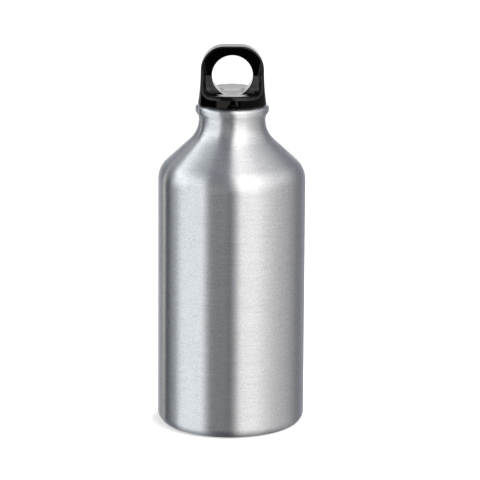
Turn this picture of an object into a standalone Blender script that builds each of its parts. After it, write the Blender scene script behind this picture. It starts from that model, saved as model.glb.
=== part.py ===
"""Rigid aluminium drinking bottle with a threaded neck and a black loop cap.

Metres, +Z up. The origin is the centre of the foot, and the cap's finger hole runs along Y.
"""
import math

import bmesh
import bpy

# Bottle body, one impact-extruded aluminium piece
BODY_RADIUS = 0.033
BODY_WALL = 0.0008
BASE_CORNER_RADIUS = 0.005
FOOT_RING_WIDTH = 0.004
BASE_DOME_RISE = 0.005
STRAIGHT_WALL_TOP = 0.1124
SHOULDER_RADIUS = 0.0129
SHOULDER_ANGLE = math.radians(47.8)
NECK_HOLLOW_RADIUS = 0.0118
NECK_RADIUS = 0.01495
NECK_STRAIGHT = 0.0005

# Rolled rim at the mouth: a hollow foot, a short flat and a curl
BEAD_OVERHANG = 0.0015
BEAD_CURL_RADIUS = 0.0016
BEAD_FLAT = 0.0011
BEAD_FOOT_RADIUS = 0.0043

# Clearances: between fixed neighbours, and between the two threads
SEAT_GAP = 0.0003
THREAD_ROOT_GAP = 0.0004

# Screw thread, right-handed, shared by the neck insert and the stopper
THREAD_LEAD = 0.004
THREAD_DEPTH = 0.0012
THREAD_ROOT_WIDTH = 0.0016
THREAD_CREST_WIDTH = 0.0008
THREAD_SINK = 0.0004
THREAD_TURNS = 2.5
THREAD_RUN_IN_TURNS = 0.125
TURN_SEGMENTS = 48

# Neck insert that carries the female thread
INSERT_WALL = 0.0014
INSERT_LENGTH = 0.0163
INSERT_THREAD_TOP_DEPTH = 0.0022

# Seal ring under the cap
SEAL_THICKNESS = 0.0016
SEAL_WIDTH = 0.0017
SEAL_EDGE_CHAMFER = 0.0003

# Stopper under the cap
PLUG_DEPTH = 0.0128
PLUG_WALL = 0.0015
PLUG_HEAD_OVERHANG = 0.0012
PLUG_HEAD_THICKNESS = 0.0015
PLUG_TIP_CHAMFER = 0.0008

# Cap: a round skirt that carries the loop
SKIRT_WALL = 0.0006
SKIRT_HEIGHT = 0.00575
SKIRT_TAPER = math.radians(6.8)
SKIRT_EDGE_RADIUS = 0.0004
SKIRT_GAP = 0.0005

# Loop above the skirt: its turned ends and its flat sides step in from the skirt
LOOP_END_INSET = 0.00095
LOOP_SIDE_INSET = 0.0011
LOOP_LEG_WIDTH = 0.005
LOOP_CROWN_THICKNESS = 0.004
LOOP_CORNER_RADIUS = 0.0107
LOOP_THICKNESS = 0.008
LOOP_DRAFT = math.radians(1.4)
LOOP_FOOT_FLARE = math.radians(4)

# Finger hole, a circle that stands on a flat floor
HOLE_FLOOR_WIDTH = 0.0066
HOLE_FLOOR_RISE = 0.0002

# Scoops that thin the loop in front and behind, between upright pillars at its ends.
# Their floors fall from the skirt's top to the loop's foot
SCOOP_FILLET_RADIUS = 0.0035
SCOOP_FLOOR_SLOPE = math.radians(8)
SCOOP_HALF_WIDTH = 0.0121
SCOOP_CORNER_RADIUS = 0.0025
SCOOP_END_LEAN = math.radians(80)

# How far every cutter runs past what it cuts
OVERRUN = 0.001

# Mesh steps
BODY_SEGMENTS = 64
CAP_SEGMENTS = 64
CORNER_STEPS = 4
SHOULDER_STEPS = 4
HOLLOW_STEPS = 4
DOME_STEPS = 4
BEAD_FOOT_STEPS = 3
BEAD_STEPS = 5
SKIRT_EDGE_STEPS = 2
SCOOP_FILLET_STEPS = 6
SCOOP_CORNER_STEPS = 4
LOOP_CORNER_STEPS = 12
HOLE_STEPS = 44

# Edges that bend more than this stay sharp in the shading
SHARP_ANGLE = math.radians(30)

# Finishes: linear red, green, blue and alpha, then roughness and metallic
BRUSHED_ALUMINIUM = ((0.62, 0.63, 0.64, 1), 0.32, 1)
GLOSS_BLACK = ((0.006, 0.006, 0.007, 1), 0.08, 0)
MATT_BLACK = ((0.02, 0.02, 0.021, 1), 0.5, 0)
NATURAL_PLASTIC = ((0.72, 0.72, 0.68, 1), 0.45, 0)
SEAL_RUBBER = ((0.03, 0.03, 0.03, 1), 0.6, 0)

# The shoulder's cone joins two arcs, which share its slope
cone_drop = (BODY_RADIUS - NECK_RADIUS
             - (SHOULDER_RADIUS + NECK_HOLLOW_RADIUS) * (1 - math.cos(SHOULDER_ANGLE)))
cone_length = cone_drop / math.sin(SHOULDER_ANGLE)
neck_bottom = (STRAIGHT_WALL_TOP + (SHOULDER_RADIUS + NECK_HOLLOW_RADIUS) * math.sin(SHOULDER_ANGLE)
               + cone_length * math.cos(SHOULDER_ANGLE))
neck_bore = NECK_RADIUS - BODY_WALL

# The rim's foot touches its curl, at a point that leans out from the level by this angle
curl_radius_from_axis = NECK_RADIUS + BEAD_OVERHANG - BEAD_CURL_RADIUS
foot_to_curl = BEAD_FOOT_RADIUS + BEAD_CURL_RADIUS
foot_lean = math.acos((NECK_RADIUS + BEAD_FOOT_RADIUS - curl_radius_from_axis) / foot_to_curl)
bead_bottom = neck_bottom + NECK_STRAIGHT
lower_curl_height = bead_bottom + foot_to_curl * math.sin(foot_lean)
upper_curl_height = lower_curl_height + BEAD_FLAT
rim_top = upper_curl_height + BEAD_CURL_RADIUS

# Thread radii, from the neck inwards
insert_radius = neck_bore - SEAT_GAP
female_root = insert_radius - INSERT_WALL
female_crest = female_root - THREAD_DEPTH
male_crest = female_root - THREAD_ROOT_GAP
male_root = male_crest - THREAD_DEPTH
thread_length = THREAD_TURNS * THREAD_LEAD

# Stack of levels above the rim
seal_bottom = rim_top + SEAT_GAP
seal_top = seal_bottom + SEAL_THICKNESS
plug_head_bottom = seal_top + SEAT_GAP
plug_head_top = plug_head_bottom + PLUG_HEAD_THICKNESS
recess_ceiling = plug_head_top + SEAT_GAP
skirt_bottom = rim_top + SKIRT_GAP
skirt_top = skirt_bottom + SKIRT_HEIGHT
plug_bottom = rim_top - PLUG_DEPTH
plug_neck_bottom = seal_bottom - SEAT_GAP / 2
plug_neck_radius = female_root - SEAT_GAP / 2
seal_inner_radius = plug_neck_radius + SEAT_GAP
seal_outer_radius = seal_inner_radius + SEAL_WIDTH
plug_head_radius = plug_neck_radius + PLUG_HEAD_OVERHANG

# Cap, from the seal ring outwards and from the skirt upwards
skirt_radius = seal_outer_radius + SEAT_GAP + SKIRT_WALL
skirt_reach = skirt_radius + OVERRUN
loop_end_radius = skirt_radius - LOOP_END_INSET
loop_half_width = skirt_radius - LOOP_SIDE_INSET
hole_radius = loop_half_width - LOOP_LEG_WIDTH
loop_face = LOOP_THICKNESS / 2
scoop_floor = skirt_top - (loop_end_radius - loop_face) * math.tan(SCOOP_FLOOR_SLOPE)
hole_bottom = scoop_floor + HOLE_FLOOR_RISE
hole_centre = hole_bottom + math.sqrt(hole_radius ** 2 - (HOLE_FLOOR_WIDTH / 2) ** 2)
loop_top = hole_centre + hole_radius + LOOP_CROWN_THICKNESS
loop_springing = loop_top - LOOP_CORNER_RADIUS


def arc(centre, radius, start, end, steps):
    """Points of an arc in the (radius, height) plane, both ends included."""
    angles = [start + (end - start) * step / steps for step in range(steps + 1)]
    return [(centre[0] + radius * math.cos(a), centre[1] + radius * math.sin(a)) for a in angles]


def clear_scene():
    """Remove every object that the file came with."""
    for old in list(bpy.data.objects):
        bpy.data.objects.remove(old, do_unlink=True)


def make_material(name, finish):
    """Principled material from a finish's colour, roughness and metallic value."""
    colour, roughness, metallic = finish
    material = bpy.data.materials.new(name)
    material.use_nodes = True
    shader = material.node_tree.nodes["Principled BSDF"]
    shader.inputs["Base Color"].default_value = colour
    shader.inputs["Roughness"].default_value = roughness
    shader.inputs["Metallic"].default_value = metallic
    material.diffuse_color = colour
    return material


def add_object(name, mesh_data, material, parent=None):
    """Put a mesh in the scene, shaded smooth except across real edges."""
    mesh = bpy.data.meshes.new(name)
    mesh_data.to_mesh(mesh)
    mesh_data.free()
    mesh.shade_smooth()
    mesh.set_sharp_from_angle(angle=SHARP_ANGLE)
    if material:
        mesh.materials.append(material)
    piece = bpy.data.objects.new(name, mesh)
    bpy.context.collection.objects.link(piece)
    piece.parent = parent
    return piece


def turned_mesh(outline, segments):
    """Revolve an outline about Z. It runs anticlockwise, with the material on its left.

    An outline that starts and ends on the axis closes there, and any other closes on itself.
    """
    mesh = bmesh.new()
    rings = []
    for radius, height in outline:
        if radius == 0:
            rings.append([mesh.verts.new((0, 0, height))] * segments)
            continue
        angles = [math.tau * step / segments for step in range(segments)]
        rings.append([mesh.verts.new((radius * math.cos(a), radius * math.sin(a), height)) for a in angles])
    pairs = list(zip(rings, rings[1:]))
    if outline[0][0] > 0:
        pairs.append((rings[-1], rings[0]))
    for lower, upper in pairs:
        for step in range(segments):
            following = (step + 1) % segments
            corners = [lower[step], lower[following], upper[following], upper[step]]
            mesh.faces.new(list(dict.fromkeys(corners)))
    return mesh


def lofted_mesh(sections):
    """Skin a row of outlines with the same number of points, and close both ends."""
    mesh = bmesh.new()
    rings = [[mesh.verts.new(point) for point in section] for section in sections]
    for first, second in zip(rings, rings[1:]):
        for index in range(len(first)):
            following = (index + 1) % len(first)
            mesh.faces.new((first[index], first[following], second[following], second[index]))
    mesh.faces.new(list(reversed(rings[0])))
    mesh.faces.new(rings[-1])
    bmesh.ops.recalc_face_normals(mesh, faces=mesh.faces)
    return mesh


def cut_with(piece, tool, operation):
    """Combine a piece with a hidden tool object by an exact Boolean."""
    tool.hide_render = True
    tool.display_type = "WIRE"
    boolean = piece.modifiers.new(tool.name, "BOOLEAN")
    boolean.operation = operation
    boolean.solver = "EXACT"
    boolean.object = tool


def wall_outline(inset):
    """Body wall from the foot's edge to the neck's top, moved in from the outer face by inset."""
    corner = (BODY_RADIUS - BASE_CORNER_RADIUS, BASE_CORNER_RADIUS)
    bend = (BODY_RADIUS - SHOULDER_RADIUS, STRAIGHT_WALL_TOP)
    hollow = (NECK_RADIUS + NECK_HOLLOW_RADIUS, neck_bottom)
    points = arc(corner, BASE_CORNER_RADIUS - inset, -math.pi / 2, 0, CORNER_STEPS)
    points += arc(bend, SHOULDER_RADIUS - inset, 0, SHOULDER_ANGLE, SHOULDER_STEPS)
    points += arc(hollow, NECK_HOLLOW_RADIUS + inset, math.pi + SHOULDER_ANGLE, math.pi, HOLLOW_STEPS)
    return points


def bead_outline():
    """Rolled rim from its hollow foot on the neck, round the outside and over to the mouth."""
    foot = (NECK_RADIUS + BEAD_FOOT_RADIUS, bead_bottom)
    lower = (curl_radius_from_axis, lower_curl_height)
    upper = (curl_radius_from_axis, upper_curl_height)
    end = math.acos((neck_bore - curl_radius_from_axis) / BEAD_CURL_RADIUS)
    points = arc(foot, BEAD_FOOT_RADIUS, math.pi, math.pi - foot_lean, BEAD_FOOT_STEPS)
    points += arc(lower, BEAD_CURL_RADIUS, -foot_lean, 0, BEAD_FOOT_STEPS)[1:]
    return points + arc(upper, BEAD_CURL_RADIUS, 0, end, BEAD_STEPS)


def dome_outline(inset):
    """Hollow underside from the axis out to the foot ring, moved up by inset along its radius."""
    foot_inner = BODY_RADIUS - BASE_CORNER_RADIUS - FOOT_RING_WIDTH
    sphere_radius = (foot_inner ** 2 + BASE_DOME_RISE ** 2) / (2 * BASE_DOME_RISE)
    centre_height = BASE_DOME_RISE - sphere_radius
    radius = sphere_radius + inset
    edge = math.acos((inset - centre_height) / radius)
    angles = [edge * step / DOME_STEPS for step in range(DOME_STEPS + 1)]
    return [(radius * math.sin(a), centre_height + radius * math.cos(a)) for a in angles]


def add_bottle_shell(material):
    """Body, shoulder, neck, rolled rim and domed base as one thin-walled shell."""
    outside = dome_outline(0) + wall_outline(0) + bead_outline()
    inside = dome_outline(BODY_WALL) + wall_outline(BODY_WALL)
    return add_object("bottle_shell", turned_mesh(outside + inside[::-1], BODY_SEGMENTS), material)


def ridge_section(angle, height, root, crest, sink):
    """Four corners of a thread ridge where it crosses the half-plane at an angle."""
    corners = ((root + sink, -THREAD_ROOT_WIDTH / 2), (crest, -THREAD_CREST_WIDTH / 2),
               (crest, THREAD_CREST_WIDTH / 2), (root + sink, THREAD_ROOT_WIDTH / 2))
    return [(radius * math.cos(angle), radius * math.sin(angle), height + rise) for radius, rise in corners]


def add_thread_ridge(name, root, crest, bottom):
    """Right-hand helical ridge on a wall of radius root, standing out or in to crest.

    Both ends run in: the crest starts inside the wall and reaches full depth along an arc.
    """
    sink = math.copysign(THREAD_SINK, root - crest)
    steps = round(THREAD_TURNS * TURN_SEGMENTS)
    sections = []
    for step in range(steps + 1):
        turns = step / TURN_SEGMENTS
        nearest_end = min(turns, THREAD_TURNS - turns)
        share = min(1, nearest_end / THREAD_RUN_IN_TURNS)
        buried = root + sink / 2
        local_crest = buried + (crest - buried) * share
        height = bottom + THREAD_LEAD * turns
        sections.append(ridge_section(math.tau * turns, height, root, local_crest, sink))
    return add_object(name, lofted_mesh(sections), None)


def add_neck_insert(material):
    """Plastic collar fixed in the neck, with the female thread in its bore."""
    bottom = rim_top - INSERT_LENGTH
    outline = [(female_root, bottom), (insert_radius, bottom),
               (insert_radius, rim_top), (female_root, rim_top)]
    insert = add_object("neck_thread_insert", turned_mesh(outline, TURN_SEGMENTS), material)
    ridge_bottom = rim_top - INSERT_THREAD_TOP_DEPTH - thread_length
    cut_with(insert, add_thread_ridge("female_ridge", female_root, female_crest, ridge_bottom), "UNION")
    return insert


def add_seal_ring(material, parent):
    """Soft ring between the cap and the mouth, with chamfered corners."""
    inner = seal_inner_radius
    outer = seal_outer_radius
    bevel = SEAL_EDGE_CHAMFER
    outline = [(inner + bevel, seal_bottom), (outer - bevel, seal_bottom), (outer, seal_bottom + bevel),
               (outer, seal_top - bevel), (outer - bevel, seal_top), (inner + bevel, seal_top),
               (inner, seal_top - bevel), (inner, seal_bottom + bevel)]
    return add_object("seal_ring", turned_mesh(outline, TURN_SEGMENTS), material, parent)


def add_cap_plug(material, parent):
    """Hollow stopper with the male thread, open at the top under the cap."""
    bore = male_root - PLUG_WALL
    outline = [(0, plug_bottom), (male_root - PLUG_TIP_CHAMFER, plug_bottom),
               (male_root, plug_bottom + PLUG_TIP_CHAMFER), (male_root, plug_neck_bottom),
               (plug_neck_radius, plug_neck_bottom), (plug_neck_radius, plug_head_bottom),
               (plug_head_radius, plug_head_bottom), (plug_head_radius, plug_head_top),
               (bore, plug_head_top), (bore, plug_bottom + PLUG_WALL), (0, plug_bottom + PLUG_WALL)]
    plug = add_object("cap_plug", turned_mesh(outline, TURN_SEGMENTS), material, parent)
    ridge_bottom = rim_top - INSERT_THREAD_TOP_DEPTH - thread_length + THREAD_LEAD / 2
    cut_with(plug, add_thread_ridge("male_ridge", male_root, male_crest, ridge_bottom), "UNION")
    return plug


def cap_blank_outline():
    """Turned blank of the cap, with the recesses for the seal ring and the stopper's head."""
    seal_recess = seal_outer_radius + SEAT_GAP
    head_recess = plug_head_radius + SEAT_GAP
    edge = (skirt_radius - SKIRT_EDGE_RADIUS, skirt_bottom + SKIRT_EDGE_RADIUS)
    outline = [(0, recess_ceiling), (head_recess, recess_ceiling), (head_recess, plug_head_bottom),
               (seal_recess, plug_head_bottom), (seal_recess, skirt_bottom)]
    outline += arc(edge, SKIRT_EDGE_RADIUS, -math.pi / 2, 0, SKIRT_EDGE_STEPS)
    taper_top = edge[1] + LOOP_END_INSET / math.tan(SKIRT_TAPER)
    outline += [(loop_end_radius, taper_top), (loop_end_radius, loop_top + OVERRUN)]
    return outline + [(0, loop_top + OVERRUN)]


def add_loop_envelope():
    """Arch that the loop is trimmed to, drawn in the XZ plane and run through along Y."""
    flat = loop_half_width - LOOP_CORNER_RADIUS
    half = [(skirt_reach, skirt_bottom - OVERRUN)]
    half += arc((flat, loop_springing), LOOP_CORNER_RADIUS, 0, math.pi / 2, LOOP_CORNER_STEPS)
    outline = half + [(-x, z) for x, z in reversed(half)]
    sections = [[(x, y, z) for x, z in outline] for y in (-skirt_reach, skirt_reach)]
    return add_object("loop_envelope", lofted_mesh(sections), None)


def floor_lift(across):
    """How much higher a scoop's floor is at a distance from the loop's middle than at its face."""
    return max(across - loop_face, 0) * math.tan(SCOOP_FLOOR_SLOPE)


def scoop_profile():
    """Loop face, its flared foot, fillet and sloping floor in the YZ plane, for the +Y side."""
    top = loop_top + OVERRUN
    face_top = loop_face - (top - hole_centre) * math.tan(LOOP_DRAFT)
    slope = math.tan(SCOOP_FLOOR_SLOPE)
    flare = math.tan(LOOP_FOOT_FLARE)
    lifted_floor = scoop_floor - loop_face * slope + SCOOP_FILLET_RADIUS / math.cos(SCOOP_FLOOR_SLOPE)
    shifted_face = loop_face + hole_centre * flare + SCOOP_FILLET_RADIUS / math.cos(LOOP_FOOT_FLARE)
    fillet_y = (shifted_face - lifted_floor * flare) / (1 + slope * flare)
    fillet = arc((fillet_y, lifted_floor + fillet_y * slope), SCOOP_FILLET_RADIUS,
                 math.pi + LOOP_FOOT_FLARE, math.pi * 3 / 2 + SCOOP_FLOOR_SLOPE, SCOOP_FILLET_STEPS)
    outer = [(skirt_reach, scoop_floor + floor_lift(skirt_reach)), (skirt_reach, top)]
    return [(face_top, top), (loop_face, hole_centre)] + fillet + outer


def scoop_stations():
    """Places across the loop's width and the scoop's lift there, from the middle to one end."""
    corner = (SCOOP_HALF_WIDTH - SCOOP_CORNER_RADIUS, SCOOP_CORNER_RADIUS)
    stations = arc(corner, SCOOP_CORNER_RADIUS, -math.pi / 2, SCOOP_END_LEAN - math.pi / 2, SCOOP_CORNER_STEPS)
    across, lift = stations[-1]
    return stations + [(skirt_reach, lift + (skirt_reach - across) * math.tan(SCOOP_END_LEAN))]


def add_scoop(name, side):
    """Cutter that thins the loop on one side and rises steeply at the pillars."""
    half = scoop_stations()
    sections = []
    for across, lift in [(-across, lift) for across, lift in reversed(half)] + half:
        sections.append([(across, side * y, z + lift) for y, z in scoop_profile()])
    return add_object(name, lofted_mesh(sections), None)


def add_finger_hole():
    """Cutter for the round hole, along Y. Its floor is flat in the loop and rises with the scoops'."""
    reach = skirt_reach + OVERRUN
    sections = []
    for y in (-reach, -loop_face, loop_face, reach):
        start = -math.asin((hole_centre - hole_bottom - floor_lift(abs(y))) / hole_radius)
        outline = arc((0, hole_centre), hole_radius, start, math.pi - start, HOLE_STEPS)
        sections.append([(x, y, z) for x, z in outline])
    return add_object("finger_hole", lofted_mesh(sections), None)


def add_cap_shell(material, parent):
    """Glossy cap: round skirt and arched loop in one moulding."""
    cap = add_object("cap_shell", turned_mesh(cap_blank_outline(), CAP_SEGMENTS), material, parent)
    cut_with(cap, add_loop_envelope(), "INTERSECT")
    cut_with(cap, add_scoop("front_scoop", -1), "DIFFERENCE")
    cut_with(cap, add_scoop("back_scoop", 1), "DIFFERENCE")
    cut_with(cap, add_finger_hole(), "DIFFERENCE")
    return cap


def main():
    """Build every piece. The empty stands on the axis that the cap turns and rises on."""
    clear_scene()
    add_bottle_shell(make_material("brushed_aluminium", BRUSHED_ALUMINIUM))
    add_neck_insert(make_material("natural_plastic", NATURAL_PLASTIC))
    screw_axis = bpy.data.objects.new("screw_axis", None)
    bpy.context.collection.objects.link(screw_axis)
    add_seal_ring(make_material("seal_rubber", SEAL_RUBBER), screw_axis)
    add_cap_plug(make_material("matt_black_plastic", MATT_BLACK), screw_axis)
    add_cap_shell(make_material("gloss_black_plastic", GLOSS_BLACK), screw_axis)


main()
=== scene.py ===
"""Looks of the rigid aluminium drinking bottle with the glossy black loop cap.

Metres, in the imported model's frame: Z is the bottle's axis and the finger hole runs along Y.
"""

import math

import bmesh
import bpy
import numpy as np
from mathutils import Matrix, Vector


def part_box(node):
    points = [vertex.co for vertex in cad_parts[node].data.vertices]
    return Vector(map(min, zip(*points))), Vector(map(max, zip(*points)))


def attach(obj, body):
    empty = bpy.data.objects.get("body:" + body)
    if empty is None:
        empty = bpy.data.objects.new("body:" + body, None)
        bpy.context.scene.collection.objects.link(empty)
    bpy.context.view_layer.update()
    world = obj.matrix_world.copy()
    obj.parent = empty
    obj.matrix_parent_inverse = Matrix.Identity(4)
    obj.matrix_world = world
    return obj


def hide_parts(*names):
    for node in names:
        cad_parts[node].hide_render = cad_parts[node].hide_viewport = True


# Camera, fitted to the photograph
CAMERA_TURN = math.radians(-0.5)
CAMERA_DISTANCE = 1.6682
CAMERA_HEIGHT = 0.5033
AIM_SIDE = 0.00385
AIM_HEIGHT = 0.0841
CAMERA_ROLL = math.radians(0.34)
CAMERA_LENS_MM = 286.55
SENSOR_MM = 36
CLIP_NEAR = 0.05
CLIP_FAR = 50

# Bottle, as in the part's source
BODY_WALL = 0.0008
BASE_CORNER_RADIUS = 0.005
FOOT_RING_WIDTH = 0.004
BASE_DOME_RISE = 0.005
STRAIGHT_WALL_TOP = 0.1124
SHOULDER_RADIUS = 0.0129
SHOULDER_ANGLE = math.radians(47.8)
NECK_HOLLOW_RADIUS = 0.0118
NECK_RADIUS = 0.01495
BEAD_OVERHANG = 0.0015
BEAD_CURL_RADIUS = 0.0016
BEAD_FLAT = 0.0011
BEAD_FOOT_RADIUS = 0.0043
BOTTLE_SEGMENTS = 240
ARC_STEPS = 16
SHARP_ANGLE = math.radians(30)

# Cap, as in the part's source
SEAT_GAP = 0.0003
SKIRT_WALL = 0.0006
SKIRT_HEIGHT = 0.00575
SKIRT_TAPER = math.radians(6.8)
SKIRT_EDGE_RADIUS = 0.0004
LOOP_END_INSET = 0.00095
LOOP_SIDE_INSET = 0.0011
LOOP_LEG_WIDTH = 0.005
LOOP_CORNER_RADIUS = 0.0107
LOOP_THICKNESS = 0.008
LOOP_DRAFT = math.radians(1.4)
LOOP_FOOT_FLARE = math.radians(4)
HOLE_FLOOR_WIDTH = 0.0066
HOLE_FLOOR_RISE = 0.0002
SCOOP_FILLET_RADIUS = 0.0035
SCOOP_FLOOR_SLOPE = math.radians(8)
SCOOP_HALF_WIDTH = 0.0121
SCOOP_CORNER_RADIUS = 0.0025
SCOOP_END_LEAN = math.radians(80)

# Blend, flare and rounded edges of the cap, which are finer than in the part's source
SKIRT_TAPER_BLEND = 0.004
LOOP_SIDE_FLARE = 0.0012
RIM_EDGE_RADIUS = 0.0022
LOOP_EDGE_RADIUS = 0.0007
HOLE_EDGE_RADIUS = 0.0004
HOLE_CORNER_RADIUS = 0.0012
RECESS_EDGE_RADIUS = 0.0001

# Grid that the cap's surface is drawn from
CAP_GRID_STEP = 0.00025
GRID_MARGIN_CELLS = 2
SURFACE_PASSES = 4
SLOPE_REACH_SHARE = 0.1
LEAST_SLOPE_SQUARED = 0.1

# How softly the scoops' rougher grain and painted sheen start, and how far they keep from their floor and
# sides
GRAIN_AND_SHEEN_BLEND = 0.0002
GRAIN_AND_SHEEN_FLOOR_MARGIN = 0.0012
GRAIN_AND_SHEEN_SIDE_MARGIN = 0.0008

# Brushed aluminium. A mark's size is its length round the body and its height
LINE_SIZE = (0.009, 0.00028)
STREAK_SIZE = (0.005, 0.0011)
SPECK_SIZE = (0.0007, 0.0005)
LINE_SHARE = 0.35
MARK_SPAN = (0.35, 0.65)
ALUMINIUM_DARK = (0.73, 0.73, 0.732, 1)
ALUMINIUM_LIGHT = (1.0, 1.0, 1.0, 1)
ALUMINIUM_ROUGHNESS = (0.31, 0.38)
LINE_DEPTH = 0.00002
LINE_STRENGTH = 0.5
SPECK_DEPTH = 0.00004
SPECK_STRENGTH = 0.6
BRUSHED_STRETCH = 1.0
QUARTER_TURN = 0.25

# Gloss black plastic. A scale is the number of marks to a metre
WAVE_SCALE = 160
RUB_SCALE = 900
SCOOP_SHEEN_NOISE_SCALE = 420
POLISHED_DARK = (0.0004, 0.0004, 0.0005, 1)
POLISHED_LIGHT = (0.0012, 0.0012, 0.0014, 1)
# Painted sheen: a lighter grey for the scoops, standing for window light reflected in them
SCOOP_SHEEN_DARK = (0.012, 0.012, 0.012, 1)
SCOOP_SHEEN_LIGHT = (0.05, 0.049, 0.048, 1)
POLISHED_ROUGHNESS = (0.05, 0.1)
GRAINED_ROUGHNESS = 0.25
WAVE_DEPTH = 0.00006
WAVE_STRENGTH = 0.3
GLOSS_IOR = 1.38

# Milky neck insert and dusty seal ring
MILKY_WEIGHT = 0.3
MILKY_DEPTH = 0.001
LINT_SHEEN = 0.2

# Photo studio round the object, which only reflections see
STUDIO_RADIUS = 3.0
STUDIO_AZIMUTH_STEPS = 240
STUDIO_ELEVATION_STEPS = 90
POLE_SHARE = 0.999

# Studio lights, in degrees. Azimuths run from the camera to the right, elevations from the horizon up.
# A pair is where a soft step starts and ends, and a row of three is the step's amount, start and end
DIM_WARM = np.array((0.177, 0.19, 0.221))
DIM_COOL = np.array((0.153, 0.17, 0.196))
COOL_SIDE_END = -60

# Left softbox, whose ends lean outwards with height
LEFT_TINT = np.array((0.955, 1, 1.03))
LEFT_LEVEL = 1.62
LEFT_OUTER_END = -95
LEFT_OUTER_BLUR = (-5, 4)
LEFT_OUTER_LEAN = 1.6
LEFT_OUTER_LEAN_FROM = 16
LEFT_OUTER_LEAN_MOST = 40
LEFT_WIDER_BY = 14
LEFT_WIDER_FROM = (-8, 2)
LEFT_WIDER_TO = (12, 20)
LEFT_INNER_END = -33
LEFT_INNER_BLUR = 19
LEFT_INNER_LEAN = 2.8
LEFT_INNER_LEAN_FROM = 32
LEFT_FIRST_DIM = (0.12, 0, 22)
LEFT_SECOND_DIM = (0.3, 32, 46)
LEFT_TOP = (33, 55)

# Right softbox, which fades slowly round to the side
RIGHT_TINT = np.array((1.015, 1, 0.985))
RIGHT_LEVEL = 1.38
RIGHT_INNER_END = (0, 25)
RIGHT_INNER_LEAN = 0.2
RIGHT_PEAK = 42
RIGHT_FALL_OFF = 52
RIGHT_LIFT = (0.35, -12, 25)
RIGHT_DIM = (0.45, 32, 60)
RIGHT_OUTER_DIM = (0.95, 105, 145)

# Lighter walls high up at the left and on both sides of the backdrop, and darker ones low down
HIGH_LEVEL = 0.3
HIGH_FROM = (15, 36)
HIGH_SIDE = (95, 120)
EDGE_LEVEL_LEFT = 0.4
EDGE_LEVEL_RIGHT = 0.2
EDGE_SIDE = (138, 154)
EDGE_DIM = (0.9, -10, 8)
LOW_DIM = (0.9, 22, 58)

# Band round the horizon in which a black wall with bright streaks stands in front of the softboxes.
# A streak is its level, its first soft edge and its last one
BAND_FROM = (-17, -13)
BAND_TO = (5, 9)
BAND_SIDE_END = (122, 142)
STREAK_TINT = np.array((1.03, 1, 0.93))
STREAK_LEVEL = 1.15
STREAKS = (
    (1.2, (-136, -133), (-127, -124)),
    (0.8, (-54, -48), (-8, -3)),
    (1.0, (10, 12), (17, 20)),
)
RIGHT_WALL_SHARE = 0.15
RIGHT_WALL_FROM = (24, 30)
STREAK_BOTTOM = -6
STREAK_BOTTOM_DROP = (8, 50, 120)
STREAK_BOTTOM_BLUR = 3

# Pale backdrop behind the object: a round patch, and a column that rises from it
BACKDROP_LEVEL = 1.35
BACKDROP_LIFT = (1.2, 16, 23)
PATCH_EDGE = (13, 17.5)
PATCH_SQUEEZE_BELOW = 1.7
COLUMN_SIDE = (169, 174)
COLUMN_FROM = (0, 4)
COLUMN_TO = (40, 48)

# Floor, which glows less next to the foot as a painted shadow, and the white world
FLOOR_HALF_WIDTH = 6.0
FLOOR_COLOUR = (0.5, 0.5, 0.5, 1)
FLOOR_GLOW_IN_PAINTED_SHADOW = 0.4
FLOOR_GLOW = 0.78
PAINTED_SHADOW_CENTRE = (-0.007, -0.001, 0)
PAINTED_SHADOW_RADII = (0.0265, 0.0345)
WHITE = (1, 1, 1, 1)
WORLD_LEVEL = 1.0
WORLD_DIFFUSE_LEVEL = 0.45

# Softbox lamps
LAMP_DISTANCE = 1.5
LAMP_SIZE = (0.7, 1.0)

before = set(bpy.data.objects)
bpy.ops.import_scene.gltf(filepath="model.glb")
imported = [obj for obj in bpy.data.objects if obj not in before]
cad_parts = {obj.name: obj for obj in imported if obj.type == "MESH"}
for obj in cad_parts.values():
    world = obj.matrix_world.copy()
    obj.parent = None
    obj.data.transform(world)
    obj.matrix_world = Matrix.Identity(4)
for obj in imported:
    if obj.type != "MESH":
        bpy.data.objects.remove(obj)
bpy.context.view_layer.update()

shell_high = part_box("bottle_shell")[1]
cap_low, cap_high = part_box("cap_shell")
body_radius = shell_high.x
rim_top = shell_high.z
curl_centre_radius = NECK_RADIUS + BEAD_OVERHANG - BEAD_CURL_RADIUS
neck_bore = NECK_RADIUS - BODY_WALL
cone_drop = (body_radius - NECK_RADIUS
             - (SHOULDER_RADIUS + NECK_HOLLOW_RADIUS) * (1 - math.cos(SHOULDER_ANGLE)))
cone_length = cone_drop / math.sin(SHOULDER_ANGLE)
neck_bottom = (STRAIGHT_WALL_TOP + (SHOULDER_RADIUS + NECK_HOLLOW_RADIUS) * math.sin(SHOULDER_ANGLE)
               + cone_length * math.cos(SHOULDER_ANGLE))

skirt_radius = cap_high.x
skirt_bottom = cap_low.z
skirt_top = skirt_bottom + SKIRT_HEIGHT
loop_top = cap_high.z
loop_end_radius = skirt_radius - LOOP_END_INSET
loop_half_width = skirt_radius - LOOP_SIDE_INSET
loop_springing = loop_top - LOOP_CORNER_RADIUS
hole_radius = loop_half_width - LOOP_LEG_WIDTH
loop_face = LOOP_THICKNESS / 2
scoop_floor = skirt_top - (loop_end_radius - loop_face) * math.tan(SCOOP_FLOOR_SLOPE)
hole_bottom = scoop_floor + HOLE_FLOOR_RISE
hole_centre = hole_bottom + math.sqrt(hole_radius ** 2 - (HOLE_FLOOR_WIDTH / 2) ** 2)
seal_recess_radius = skirt_radius - SKIRT_WALL
head_recess_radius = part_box("cap_plug")[1].x + SEAT_GAP
recess_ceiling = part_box("cap_plug")[1].z + SEAT_GAP
seal_recess_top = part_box("seal_ring")[1].z + SEAT_GAP


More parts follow.
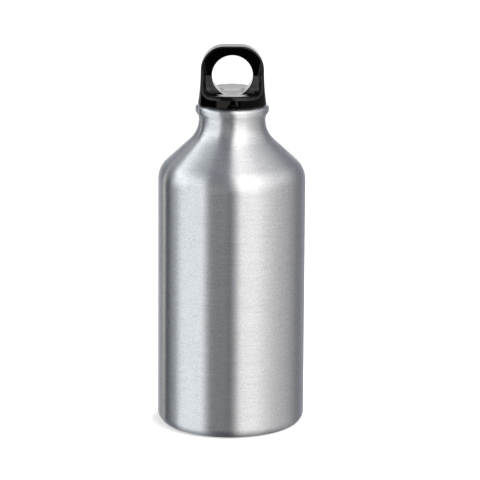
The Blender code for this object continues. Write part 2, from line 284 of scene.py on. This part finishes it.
def add_node(tree, kind, inputs=None, **settings):
    """Add a shader node. An input's value is a constant, or another node's output to link."""
    node = tree.nodes.new(kind)
    for name, value in settings.items():
        setattr(node, name, value)
    for name, value in (inputs or {}).items():
        if isinstance(value, bpy.types.NodeSocket):
            tree.links.new(value, node.inputs[name])
        else:
            node.inputs[name].default_value = value
    return node


def math_node(tree, operation, *values):
    """Math node over one or two values or links."""
    return add_node(tree, "ShaderNodeMath", dict(enumerate(values)), operation=operation).outputs[0]


def noise(tree, vector, scale=1.0, detail=2.0):
    """Noise between about 0 and 1 at a vector."""
    inputs = {"Vector": vector, "Scale": scale, "Detail": detail}
    return add_node(tree, "ShaderNodeTexNoise", inputs).outputs["Fac"]


def spread(tree, value, low, high, start=0.25, end=0.75):
    """Map a noise value to a range."""
    inputs = {"Value": value, "From Min": start, "From Max": end, "To Min": low, "To Max": high}
    return add_node(tree, "ShaderNodeMapRange", inputs).outputs["Result"]


def bump(tree, height, distance, strength, normal=None):
    """Bump from a height between 0 and 1, over a depth in metres."""
    inputs = {"Height": height, "Distance": distance, "Strength": strength}
    if normal:
        inputs["Normal"] = normal
    return add_node(tree, "ShaderNodeBump", inputs).outputs["Normal"]


def mix_colours(tree, factor, first, second):
    """Colour between two colours or links, by a factor."""
    node = add_node(tree, "ShaderNodeMixRGB", {"Fac": factor, "Color1": first, "Color2": second})
    return node.outputs["Color"]


def new_material(name):
    """Material with its node tree and its Principled shader."""
    material = bpy.data.materials.new(name)
    material.use_nodes = True
    return material, material.node_tree, material.node_tree.nodes["Principled BSDF"]


def surface_vector(tree, across, along):
    """Vector for noise that is stretched round the axis: one unit is a length across and one along."""
    place = add_node(tree, "ShaderNodeTexCoord").outputs["Object"]
    axes = add_node(tree, "ShaderNodeSeparateXYZ", {"Vector": place}).outputs
    run = add_node(tree, "ShaderNodeAttribute", attribute_name="outline_run").outputs["Fac"]
    parts = {"X": math_node(tree, "DIVIDE", axes["X"], across),
             "Y": math_node(tree, "DIVIDE", axes["Y"], across),
             "Z": math_node(tree, "DIVIDE", run, along)}
    return add_node(tree, "ShaderNodeCombineXYZ", parts).outputs["Vector"]


def brushed_aluminium():
    """Satin aluminium, brushed round the bottle; its clear lacquer gets no layer of its own."""
    material, tree, shader = new_material("brushed_aluminium")
    lines = noise(tree, surface_vector(tree, *LINE_SIZE), detail=3.0)
    streaks = noise(tree, surface_vector(tree, *STREAK_SIZE), detail=2.0)
    specks = noise(tree, surface_vector(tree, *SPECK_SIZE), detail=2.0)
    marks = math_node(tree, "ADD", math_node(tree, "MULTIPLY", lines, LINE_SHARE),
                      math_node(tree, "MULTIPLY", specks, 1 - LINE_SHARE))
    colour = mix_colours(tree, spread(tree, marks, 0, 1, *MARK_SPAN), ALUMINIUM_DARK, ALUMINIUM_LIGHT)
    tree.links.new(colour, shader.inputs["Base Color"])
    tree.links.new(spread(tree, streaks, *ALUMINIUM_ROUGHNESS), shader.inputs["Roughness"])
    brushed = bump(tree, lines, LINE_DEPTH, LINE_STRENGTH)
    tree.links.new(bump(tree, specks, SPECK_DEPTH, SPECK_STRENGTH, brushed), shader.inputs["Normal"])
    tangent = add_node(tree, "ShaderNodeTangent", direction_type="RADIAL", axis="Z").outputs["Tangent"]
    tree.links.new(tangent, shader.inputs["Tangent"])
    shader.inputs["Metallic"].default_value = 1
    shader.inputs["Anisotropic"].default_value = BRUSHED_STRETCH
    shader.inputs["Anisotropic Rotation"].default_value = QUARTER_TURN
    return material


def between(tree, value, outside, inside):
    """1 past the value called inside, 0 past the value called outside, and smooth between them."""
    inputs = {"Value": value, "From Min": outside, "From Max": inside}
    node = add_node(tree, "ShaderNodeMapRange", inputs, interpolation_type="SMOOTHSTEP")
    return node.outputs["Result"]


def scoop_share(tree, place):
    """1 on the grained faces of the scoops, below the middle of the finger hole, where the painted sheen
    goes too, and 0 elsewhere.
    """
    axes = add_node(tree, "ShaderNodeSeparateXYZ", {"Vector": place}).outputs
    x, y, z = axes["X"], axes["Y"], axes["Z"]
    across = math_node(tree, "ABSOLUTE", x)
    radius = math_node(tree, "SQRT", math_node(tree, "ADD", math_node(tree, "MULTIPLY", x, x),
                                               math_node(tree, "MULTIPLY", y, y)))
    above = math_node(tree, "SUBTRACT", z, hole_centre)
    from_hole = math_node(tree, "SQRT", math_node(tree, "ADD", math_node(tree, "MULTIPLY", x, x),
                                                  math_node(tree, "MULTIPLY", above, above)))
    shares = (between(tree, z, hole_centre + GRAIN_AND_SHEEN_BLEND, hole_centre - GRAIN_AND_SHEEN_BLEND),
              between(tree, z, skirt_top + GRAIN_AND_SHEEN_BLEND, skirt_top + GRAIN_AND_SHEEN_FLOOR_MARGIN),
              between(tree, across, SCOOP_HALF_WIDTH, SCOOP_HALF_WIDTH - GRAIN_AND_SHEEN_SIDE_MARGIN),
              between(tree, radius, skirt_radius - RIM_EDGE_RADIUS,
                      skirt_radius - RIM_EDGE_RADIUS - GRAIN_AND_SHEEN_SIDE_MARGIN),
              between(tree, from_hole, hole_radius + GRAIN_AND_SHEEN_BLEND, hole_radius + HOLE_EDGE_RADIUS))
    total = shares[0]
    for share in shares[1:]:
        total = math_node(tree, "MULTIPLY", total, share)
    return total


def gloss_black_plastic():
    """Moulded black plastic, polished but for a fine grain in the scoops, which also carry a painted
    sheen: a lighter grey standing for window light reflected there.
    """
    material, tree, shader = new_material("gloss_black_plastic")
    place = add_node(tree, "ShaderNodeTexCoord").outputs["Object"]
    waves = noise(tree, place, WAVE_SCALE, detail=1.0)
    rubs = noise(tree, place, RUB_SCALE, detail=3.0)
    sheen_noise = noise(tree, place, SCOOP_SHEEN_NOISE_SCALE, detail=3.0)
    grain_and_sheen = scoop_share(tree, place)
    polished = mix_colours(tree, rubs, POLISHED_DARK, POLISHED_LIGHT)
    # Painted sheen: lighter grey in the scoops, varied at random, standing for reflected window light
    painted_sheen = mix_colours(tree, sheen_noise, SCOOP_SHEEN_DARK, SCOOP_SHEEN_LIGHT)
    tree.links.new(mix_colours(tree, grain_and_sheen, polished, painted_sheen), shader.inputs["Base Color"])
    sheen = spread(tree, rubs, *POLISHED_ROUGHNESS)
    rough = math_node(tree, "ADD", sheen, math_node(tree, "MULTIPLY", grain_and_sheen, GRAINED_ROUGHNESS))
    tree.links.new(rough, shader.inputs["Roughness"])
    tree.links.new(bump(tree, waves, WAVE_DEPTH, WAVE_STRENGTH), shader.inputs["Normal"])
    shader.inputs["IOR"].default_value = GLOSS_IOR
    return material


def matt_material(name, dark, light, roughness, patches, grain, grain_depth, grain_strength):
    """Material with soft patches of colour and gloss over a fine grain.

    Patches and grain are each a noise scale and its detail.
    """
    material, tree, shader = new_material(name)
    place = add_node(tree, "ShaderNodeTexCoord").outputs["Object"]
    patch_noise = noise(tree, place, *patches)
    grain_noise = noise(tree, place, *grain)
    tree.links.new(mix_colours(tree, patch_noise, dark, light), shader.inputs["Base Color"])
    tree.links.new(spread(tree, patch_noise, *roughness), shader.inputs["Roughness"])
    tree.links.new(bump(tree, grain_noise, grain_depth, grain_strength), shader.inputs["Normal"])
    return material, shader


def matt_black_plastic():
    """Moulded black polypropylene of the stopper, matt with a fine grain."""
    material, _ = matt_material(
        "matt_black_plastic", dark=(0.014, 0.014, 0.015, 1), light=(0.026, 0.026, 0.027, 1),
        roughness=(0.42, 0.58), patches=(120, 2.0), grain=(2500, 3.0),
        grain_depth=0.00003, grain_strength=0.4)
    return material


def natural_plastic():
    """Natural polypropylene of the neck insert: milky, waxy and slightly see-through."""
    material, shader = matt_material(
        "natural_plastic", dark=(0.68, 0.68, 0.63, 1), light=(0.76, 0.76, 0.72, 1),
        roughness=(0.34, 0.46), patches=(90, 2.0), grain=(1800, 3.0),
        grain_depth=0.00003, grain_strength=0.3)
    shader.inputs["Subsurface Weight"].default_value = MILKY_WEIGHT
    shader.inputs["Subsurface Scale"].default_value = MILKY_DEPTH
    return material


def seal_rubber():
    """Soft black silicone of the seal ring, dull with a dusting of lint."""
    material, shader = matt_material(
        "seal_rubber", dark=(0.02, 0.02, 0.02, 1), light=(0.045, 0.045, 0.045, 1),
        roughness=(0.55, 0.75), patches=(3000, 4.0), grain=(3000, 4.0),
        grain_depth=0.00002, grain_strength=0.4)
    shader.inputs["Sheen Weight"].default_value = LINT_SHEEN
    return material


def add_mesh(name, mesh, material):
    """Put a mesh in the scene with its material."""
    mesh.materials.append(material)
    piece = bpy.data.objects.new(name, mesh)
    bpy.context.scene.collection.objects.link(piece)
    return piece


def arc(centre, radius, start, end):
    """Points of an arc in the (radius, height) plane, both ends included."""
    angles = [start + (end - start) * step / ARC_STEPS for step in range(ARC_STEPS + 1)]
    return [(centre[0] + radius * math.cos(a), centre[1] + radius * math.sin(a)) for a in angles]


def turned_mesh(name, outline, segments):
    """Revolve an outline about Z, and keep each point's distance along the outline."""
    mesh = bmesh.new()
    run_layer = mesh.verts.layers.float.new("outline_run")
    rings = []
    run = 0
    last = outline[0]
    for radius, height in outline:
        run += math.dist(last, (radius, height))
        last = (radius, height)
        if radius == 0:
            ring = [mesh.verts.new((0, 0, height))] * segments
        else:
            angles = [math.tau * step / segments for step in range(segments)]
            ring = [mesh.verts.new((radius * math.cos(a), radius * math.sin(a), height)) for a in angles]
        for vertex in ring:
            vertex[run_layer] = run
        rings.append(ring)
    pairs = list(zip(rings, rings[1:]))
    if outline[0][0] > 0:
        pairs.append((rings[-1], rings[0]))
    for lower, upper in pairs:
        for step in range(segments):
            following = (step + 1) % segments
            corners = [lower[step], lower[following], upper[following], upper[step]]
            mesh.faces.new(list(dict.fromkeys(corners)))
    turned = bpy.data.meshes.new(name)
    mesh.to_mesh(turned)
    mesh.free()
    turned.shade_smooth()
    turned.set_sharp_from_angle(angle=SHARP_ANGLE)
    return turned


def wall_outline(inset):
    """Body wall from the foot's edge to the neck's top, moved in from the outer face by inset."""
    corner = (body_radius - BASE_CORNER_RADIUS, BASE_CORNER_RADIUS)
    bend = (body_radius - SHOULDER_RADIUS, STRAIGHT_WALL_TOP)
    hollow = (NECK_RADIUS + NECK_HOLLOW_RADIUS, neck_bottom)
    points = arc(corner, BASE_CORNER_RADIUS - inset, -math.pi / 2, 0)
    points += arc(bend, SHOULDER_RADIUS - inset, 0, SHOULDER_ANGLE)
    points += arc(hollow, NECK_HOLLOW_RADIUS + inset, math.pi + SHOULDER_ANGLE, math.pi)
    return points


def bead_outline():
    """Rolled rim from its hollow foot on the neck, round the outside and over to the mouth."""
    upper = (curl_centre_radius, rim_top - BEAD_CURL_RADIUS)
    lower = (curl_centre_radius, upper[1] - BEAD_FLAT)
    foot_centre_radius = NECK_RADIUS + BEAD_FOOT_RADIUS
    lean = math.acos((foot_centre_radius - curl_centre_radius) / (BEAD_FOOT_RADIUS + BEAD_CURL_RADIUS))
    drop = (BEAD_FOOT_RADIUS + BEAD_CURL_RADIUS) * math.sin(lean)
    end = math.acos((neck_bore - curl_centre_radius) / BEAD_CURL_RADIUS)
    points = arc((foot_centre_radius, lower[1] - drop), BEAD_FOOT_RADIUS, math.pi, math.pi - lean)
    return points + arc(lower, BEAD_CURL_RADIUS, -lean, 0)[1:] + arc(upper, BEAD_CURL_RADIUS, 0, end)


def dome_outline(inset):
    """Hollow underside from the axis out to the foot ring, moved up by inset along its radius."""
    foot_inner = body_radius - BASE_CORNER_RADIUS - FOOT_RING_WIDTH
    sphere_radius = (foot_inner ** 2 + BASE_DOME_RISE ** 2) / (2 * BASE_DOME_RISE)
    centre_height = BASE_DOME_RISE - sphere_radius
    radius = sphere_radius + inset
    edge = math.acos((inset - centre_height) / radius)
    angles = [edge * step / ARC_STEPS for step in range(ARC_STEPS + 1)]
    return [(radius * math.sin(a), centre_height + radius * math.cos(a)) for a in angles]


def add_bottle():
    """Bottle body in fine steps, in place of the coarse turned solid."""
    outside = dome_outline(0) + wall_outline(0) + bead_outline()
    inside = dome_outline(BODY_WALL) + wall_outline(BODY_WALL)
    mesh = turned_mesh("bottle_body", outside + inside[::-1], BOTTLE_SEGMENTS)
    bottle = add_mesh("bottle_body", mesh, brushed_aluminium())
    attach(bottle, "bottle")
    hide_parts("bottle_shell")


def join_round(first, second, radius):
    """Union of two distance fields with a fillet."""
    reach = np.hypot(np.maximum(radius - first, 0), np.maximum(radius - second, 0))
    return np.maximum(radius, np.minimum(first, second)) - reach


def meet_round(first, second, radius):
    """Intersection of two distance fields with a rounded edge."""
    return -join_round(-first, -second, radius)


def skirt_distance(x, y, z):
    """Turned blank of the cap: a tapering skirt that blends into the upright loop ends."""
    radius = np.hypot(x, y)
    taper = (radius - skirt_radius + (z - skirt_bottom) * math.tan(SKIRT_TAPER)) * math.cos(SKIRT_TAPER)
    return join_round(taper, radius - loop_end_radius, SKIRT_TAPER_BLEND)


def arch_distance(x, z):
    """Arch that trims the loop, seen along Y: flaring sides and round corners."""
    flat = loop_half_width - LOOP_CORNER_RADIUS
    below = np.maximum(loop_springing - z, 0) / (loop_springing - skirt_bottom)
    sides = np.maximum(np.abs(x) - flat - LOOP_SIDE_FLARE * below * below, 0)
    return np.hypot(sides, np.maximum(z - loop_springing, 0)) - LOOP_CORNER_RADIUS


def floor_distance(y, z, height):
    """Distance above a floor that is flat in the loop, at a height, and rises in front and behind."""
    beyond = np.maximum(np.abs(y) - loop_face, 0)
    return (z - height - beyond * math.tan(SCOOP_FLOOR_SLOPE)) * math.cos(SCOOP_FLOOR_SLOPE)


def saddle_distance(x, y, z):
    """Loop's slab with its flared foot, the scoops' floors and the pillars at the ends."""
    above = z - hole_centre
    upper = (np.abs(y) - loop_face + above * math.tan(LOOP_DRAFT)) * math.cos(LOOP_DRAFT)
    foot = (np.abs(y) - loop_face + above * math.tan(LOOP_FOOT_FLARE)) * math.cos(LOOP_FOOT_FLARE)
    floor = floor_distance(y, z, scoop_floor)
    lean = SCOOP_HALF_WIDTH - np.abs(x) + floor / math.tan(SCOOP_END_LEAN)
    pillar = lean * math.sin(SCOOP_END_LEAN)
    slab = join_round(np.minimum(upper, foot), floor, SCOOP_FILLET_RADIUS)
    return join_round(slab, pillar, SCOOP_CORNER_RADIUS)


def hole_distance(x, y, z):
    """Round finger hole with its floor, which rises with the scoops'."""
    floor = floor_distance(y, z, hole_bottom)
    return meet_round(np.hypot(x, z - hole_centre) - hole_radius, -floor, HOLE_CORNER_RADIUS)


def recess_distance(x, y, z):
    """Recesses under the cap, for the seal ring and the stopper's head."""
    radius = np.hypot(x, y)
    seal = np.maximum(radius - seal_recess_radius, z - seal_recess_top)
    head = np.maximum(radius - head_recess_radius, z - recess_ceiling)
    return np.minimum(seal, head)


def cap_distance(points):
    """Signed distance from the cap's surface, negative inside."""
    x, y, z = points[..., 0], points[..., 1], points[..., 2]
    body = meet_round(skirt_distance(x, y, z), saddle_distance(x, y, z), RIM_EDGE_RADIUS)
    body = meet_round(body, arch_distance(x, z), LOOP_EDGE_RADIUS)
    body = meet_round(body, -hole_distance(x, y, z), HOLE_EDGE_RADIUS)
    body = meet_round(body, skirt_bottom - z, SKIRT_EDGE_RADIUS)
    return meet_round(body, -recess_distance(x, y, z), RECESS_EDGE_RADIUS)


def slope_of(field, points, reach):
    """Gradient of a distance field at each point."""
    changes = [field(points + step) - field(points - step) for step in np.eye(3) * reach]
    return np.stack(changes, axis=-1) / (2 * reach)


def surface_of(name, field, low, high, step):
    """Closed mesh of a distance field's surface, one vertex to each grid cell that it crosses."""
    axes = [np.arange(start - GRID_MARGIN_CELLS * step, end + (GRID_MARGIN_CELLS + 1) * step, step)
            for start, end in zip(low, high)]
    inside = field(np.stack(np.meshgrid(*axes, indexing="ij"), axis=-1)) < 0
    corners = [inside[i:i - 1 or None, j:j - 1 or None, k:k - 1 or None]
               for i in (0, 1) for j in (0, 1) for k in (0, 1)]
    crossed = np.any(corners, axis=0) & ~np.all(corners, axis=0)
    number = np.full(crossed.shape, -1)
    number[crossed] = np.arange(np.count_nonzero(crossed))
    cells = np.argwhere(crossed)
    points = np.array([axis[0] for axis in axes]) + (cells + 0.5) * step
    for _ in range(SURFACE_PASSES):
        slope = slope_of(field, points, step * SLOPE_REACH_SHARE)
        steepness = np.maximum((slope ** 2).sum(axis=1), LEAST_SLOPE_SQUARED)
        points = points - slope * (field(points) / steepness)[:, None]
    quads = []
    for axis in range(3):
        first, second = (axis + 1) % 3, (axis + 2) % 3
        ends = np.moveaxis(inside, (axis, first, second), (0, 1, 2))
        cell = np.moveaxis(number, (axis, first, second), (0, 1, 2))
        leaving = ends[:-1, 1:-1, 1:-1] & ~ends[1:, 1:-1, 1:-1]
        entering = ~ends[:-1, 1:-1, 1:-1] & ends[1:, 1:-1, 1:-1]
        ring = (cell[:, :-1, :-1], cell[:, 1:, :-1], cell[:, 1:, 1:], cell[:, :-1, 1:])
        around = np.stack(ring, axis=-1)
        quads += [around[leaving], around[entering][:, ::-1]]
    mesh = bpy.data.meshes.new(name)
    mesh.from_pydata(points.tolist(), [], np.concatenate(quads).tolist())
    mesh.shade_smooth()
    return mesh


def add_cap():
    """Loop cap with rounded edges, in place of the coarse solid."""
    mesh = surface_of("loop_cap", cap_distance, cap_low, cap_high, CAP_GRID_STEP)
    cap = add_mesh("loop_cap", mesh, gloss_black_plastic())
    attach(cap, "cap")
    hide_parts("cap_shell")


def dress_node(name, material):
    """Give a CAD node that stays visible its finish."""
    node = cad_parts[name]
    node.data.materials.clear()
    node.data.materials.append(material)


def add_camera():
    """Camera at the photograph's viewpoint."""
    place = Vector((0, -CAMERA_DISTANCE, CAMERA_HEIGHT))
    forward = (Vector((AIM_SIDE, 0, AIM_HEIGHT)) - place).normalized()
    level_right = forward.cross(Vector((0, 0, 1))).normalized()
    level_up = level_right.cross(forward)
    right = level_right * math.cos(CAMERA_ROLL) + level_up * math.sin(CAMERA_ROLL)
    up = level_up * math.cos(CAMERA_ROLL) - level_right * math.sin(CAMERA_ROLL)
    data = bpy.data.cameras.new("camera")
    data.lens = CAMERA_LENS_MM
    data.sensor_width = SENSOR_MM
    data.clip_start = CLIP_NEAR
    data.clip_end = CLIP_FAR
    camera = bpy.data.objects.new("camera", data)
    bpy.context.scene.collection.objects.link(camera)
    axes = Matrix((right, up, -forward)).transposed().to_4x4()
    camera.matrix_world = Matrix.Rotation(CAMERA_TURN, 4, "Z") @ Matrix.Translation(place) @ axes
    bpy.context.scene.camera = camera


def seen_or_reflected(tree):
    """1 for a ray from the camera, a reflection or a refraction, and 0 for light on the object."""
    path = add_node(tree, "ShaderNodeLightPath").outputs
    seen = math_node(tree, "MAXIMUM", path["Is Camera Ray"], path["Is Glossy Ray"])
    return math_node(tree, "MAXIMUM", seen, path["Is Transmission Ray"])


def studio_point(azimuth, elevation, radius):
    """Point at a radius, by its azimuth from the camera to the right and its elevation."""
    turned = CAMERA_TURN + azimuth
    level = radius * math.cos(elevation)
    return level * math.sin(turned), -level * math.cos(turned), radius * math.sin(elevation)


def reflection_only(stage_object):
    """Hide a stage object from everything but reflections."""
    stage_object.visible_camera = False
    stage_object.visible_diffuse = False
    stage_object.visible_transmission = False
    stage_object.visible_volume_scatter = False
    stage_object.visible_shadow = False


def rise(value, start, end):
    """Smooth step from 0 at start to 1 at end."""
    share = min(max((value - start) / (end - start), 0), 1)
    return share * share * (3 - 2 * share)


def fall(value, start, end):
    """Smooth step from 1 at start to 0 at end."""
    return 1 - rise(value, start, end)


def change(value, amount, start, end):
    """Smooth step from 0 at start to an amount at end."""
    return amount * rise(value, start, end)


def left_window(azimuth, elevation):
    """Level of the left softbox in a direction."""
    lean = LEFT_OUTER_LEAN * max(elevation - LEFT_OUTER_LEAN_FROM, 0)
    wider = LEFT_WIDER_BY * rise(elevation, *LEFT_WIDER_FROM) * fall(elevation, *LEFT_WIDER_TO)
    outer = LEFT_OUTER_END - min(lean, LEFT_OUTER_LEAN_MOST) - wider
    inner = LEFT_INNER_END - LEFT_INNER_LEAN * max(elevation - LEFT_INNER_LEAN_FROM, 0)
    level = LEFT_LEVEL * (1 - change(elevation, *LEFT_FIRST_DIM) - change(elevation, *LEFT_SECOND_DIM))
    level *= rise(azimuth, outer + LEFT_OUTER_BLUR[0], outer + LEFT_OUTER_BLUR[1])
    return level * fall(azimuth, inner - LEFT_INNER_BLUR, inner) * fall(elevation, *LEFT_TOP)


def right_window(azimuth, elevation):
    """Level of the right softbox in a direction."""
    lean = RIGHT_INNER_LEAN * max(elevation, 0)
    level = RIGHT_LEVEL * (1 + change(elevation, *RIGHT_LIFT) - change(elevation, *RIGHT_DIM))
    level *= rise(azimuth, RIGHT_INNER_END[0] - lean, RIGHT_INNER_END[1] - lean)
    level *= min(1, math.exp((RIGHT_PEAK - azimuth) / RIGHT_FALL_OFF))
    return level * (1 - change(azimuth, *RIGHT_OUTER_DIM))


def streak_level(azimuth, elevation):
    """Level of the bright streaks on the dark wall."""
    level = RIGHT_WALL_SHARE * rise(azimuth, *RIGHT_WALL_FROM)
    for brightness, first_edge, last_edge in STREAKS:
        level += brightness * rise(azimuth, *first_edge) * fall(azimuth, *last_edge)
    bottom = STREAK_BOTTOM - change(abs(azimuth), *STREAK_BOTTOM_DROP)
    return level * STREAK_LEVEL * rise(elevation, bottom, bottom + STREAK_BOTTOM_BLUR)


def backdrop_share(azimuth, elevation):
    """1 on the pale backdrop and 0 beside it."""
    around = abs(azimuth)
    squeeze = PATCH_SQUEEZE_BELOW if elevation < 0 else 1
    patch = fall(math.hypot(180 - around, elevation * squeeze), *PATCH_EDGE)
    column = rise(around, *COLUMN_SIDE) * rise(elevation, *COLUMN_FROM) * fall(elevation, *COLUMN_TO)
    return max(patch, column)


def studio_light(azimuth, elevation):
    """Red, green and blue of the studio's walls and softboxes in a direction, in degrees."""
    around = abs(azimuth)
    wall = DIM_COOL if azimuth < COOL_SIDE_END else DIM_WARM
    high = HIGH_LEVEL * rise(elevation, *HIGH_FROM) * rise(-azimuth, *HIGH_SIDE)
    edge = EDGE_LEVEL_LEFT if azimuth < 0 else EDGE_LEVEL_RIGHT
    edge *= rise(around, *EDGE_SIDE) * (1 - change(elevation, *EDGE_DIM))
    left = left_window(azimuth, elevation) * LEFT_TINT
    right = right_window(azimuth, elevation) * RIGHT_TINT
    colour = (wall + high + edge + left + right) * (1 - change(-elevation, *LOW_DIM))
    band = rise(elevation, *BAND_FROM) * fall(elevation, *BAND_TO) * fall(around, *BAND_SIDE_END)
    colour = colour * (1 - band) + streak_level(azimuth, elevation) * STREAK_TINT * band
    back = backdrop_share(azimuth, elevation)
    backdrop = BACKDROP_LEVEL * (1 + change(elevation, *BACKDROP_LIFT))
    return list(colour * (1 - back) + backdrop * back)


def add_glow_mesh(name, rows):
    """Stage mesh that glows with the colour of each corner, seen only in reflections.

    Each row is a list of (place, colour).
    """
    mesh = bmesh.new()
    glow = mesh.verts.layers.float_color.new("glow")
    grid = []
    for row in rows:
        vertices = []
        for place, colour in row:
            vertex = mesh.verts.new(place)
            vertex[glow] = colour + [1]
            vertices.append(vertex)
        grid.append(vertices)
    for first, second in zip(grid, grid[1:]):
        for index in range(len(first) - 1):
            mesh.faces.new((first[index], first[index + 1], second[index + 1], second[index]))
    data = bpy.data.meshes.new(name)
    mesh.to_mesh(data)
    mesh.free()
    material = bpy.data.materials.new(name)
    material.use_nodes = True
    tree = material.node_tree
    tree.nodes.clear()
    colour = add_node(tree, "ShaderNodeAttribute", attribute_name="glow").outputs["Color"]
    glow_shader = add_node(tree, "ShaderNodeEmission", {"Color": colour}).outputs["Emission"]
    add_node(tree, "ShaderNodeOutputMaterial", {"Surface": glow_shader})
    material.cycles.emission_sampling = "NONE"
    reflection_only(add_mesh(name, data, material))


def add_studio():
    """Walls, ceiling and lower half of the studio with its two softboxes."""
    azimuths = [math.tau * step / STUDIO_AZIMUTH_STEPS - math.pi
                for step in range(STUDIO_AZIMUTH_STEPS + 1)]
    elevations = [math.pi * POLE_SHARE * (step / STUDIO_ELEVATION_STEPS - 0.5)
                  for step in range(STUDIO_ELEVATION_STEPS + 1)]
    walls = [[(studio_point(azimuth, elevation, STUDIO_RADIUS),
               studio_light(math.degrees(azimuth), math.degrees(elevation))) for elevation in elevations]
             for azimuth in azimuths]
    add_glow_mesh("studio_surround", walls)


def add_floor():
    """Pale floor that shows white round the object's shadow, which the lamps cast and a painted shadow
    deepens: the floor glows less just left of the foot.
    """
    corners = [(-FLOOR_HALF_WIDTH, -FLOOR_HALF_WIDTH, 0), (FLOOR_HALF_WIDTH, -FLOOR_HALF_WIDTH, 0),
               (FLOOR_HALF_WIDTH, FLOOR_HALF_WIDTH, 0), (-FLOOR_HALF_WIDTH, FLOOR_HALF_WIDTH, 0)]
    mesh = bpy.data.meshes.new("floor")
    mesh.from_pydata(corners, [], [(0, 1, 2, 3)])
    material = bpy.data.materials.new("floor")
    material.use_nodes = True
    tree = material.node_tree
    tree.nodes.clear()
    diffuse = add_node(tree, "ShaderNodeBsdfDiffuse", {"Color": FLOOR_COLOUR}).outputs["BSDF"]
    place = add_node(tree, "ShaderNodeNewGeometry").outputs["Position"]
    # Painted shadow: the glow dims in a ring round a point just left of the foot
    reach = add_node(tree, "ShaderNodeVectorMath", {0: place, 1: PAINTED_SHADOW_CENTRE}, operation="DISTANCE")
    inputs = {"Value": reach.outputs["Value"], "From Min": PAINTED_SHADOW_RADII[0], "From Max": PAINTED_SHADOW_RADII[1],
              "To Min": FLOOR_GLOW_IN_PAINTED_SHADOW, "To Max": FLOOR_GLOW}
    level = add_node(tree, "ShaderNodeMapRange", inputs, interpolation_type="SMOOTHSTEP")
    strength = math_node(tree, "MULTIPLY", seen_or_reflected(tree), level.outputs["Result"])
    emission = add_node(tree, "ShaderNodeEmission", {"Color": WHITE, "Strength": strength})
    glow = emission.outputs["Emission"]
    both = add_node(tree, "ShaderNodeAddShader", {0: diffuse, 1: glow}).outputs["Shader"]
    add_node(tree, "ShaderNodeOutputMaterial", {"Surface": both})
    material.cycles.emission_sampling = "NONE"
    floor = add_mesh("floor", mesh, material)
    floor.visible_glossy = False


def add_world():
    """White background for the camera and reflections, and a plain level of light on the object."""
    world = bpy.data.worlds.new("studio")
    bpy.context.scene.world = world
    world.use_nodes = True
    tree = world.node_tree
    seen = seen_or_reflected(tree)
    inputs = {"Value": seen, "To Min": WORLD_DIFFUSE_LEVEL, "To Max": WORLD_LEVEL}
    level = add_node(tree, "ShaderNodeMapRange", inputs)
    background = tree.nodes["Background"]
    background.inputs["Color"].default_value = WHITE
    tree.links.new(level.outputs["Result"], background.inputs["Strength"])


def add_lamp(name, azimuth, elevation, power):
    """Softbox lamp that faces the object. Its image in the metal is the studio's."""
    data = bpy.data.lights.new(name, "AREA")
    data.shape = "RECTANGLE"
    data.size, data.size_y = LAMP_SIZE
    data.energy = power
    lamp = bpy.data.objects.new(name, data)
    bpy.context.scene.collection.objects.link(lamp)
    place = Vector(studio_point(math.radians(azimuth), math.radians(elevation), LAMP_DISTANCE))
    aim = Vector((0, 0, rim_top / 2))
    lamp.location = place
    lamp.rotation_euler = (place - aim).to_track_quat("Z", "Y").to_euler()
    lamp.visible_glossy = False


bpy.context.scene.view_settings.view_transform = "Standard"
add_camera()
add_bottle()
add_cap()
dress_node("neck_thread_insert", natural_plastic())
dress_node("seal_ring", seal_rubber())
dress_node("cap_plug", matt_black_plastic())
add_floor()
add_studio()
add_world()
add_lamp("left_softbox", azimuth=-72, elevation=45, power=12)
add_lamp("right_softbox", azimuth=30, elevation=50, power=18)
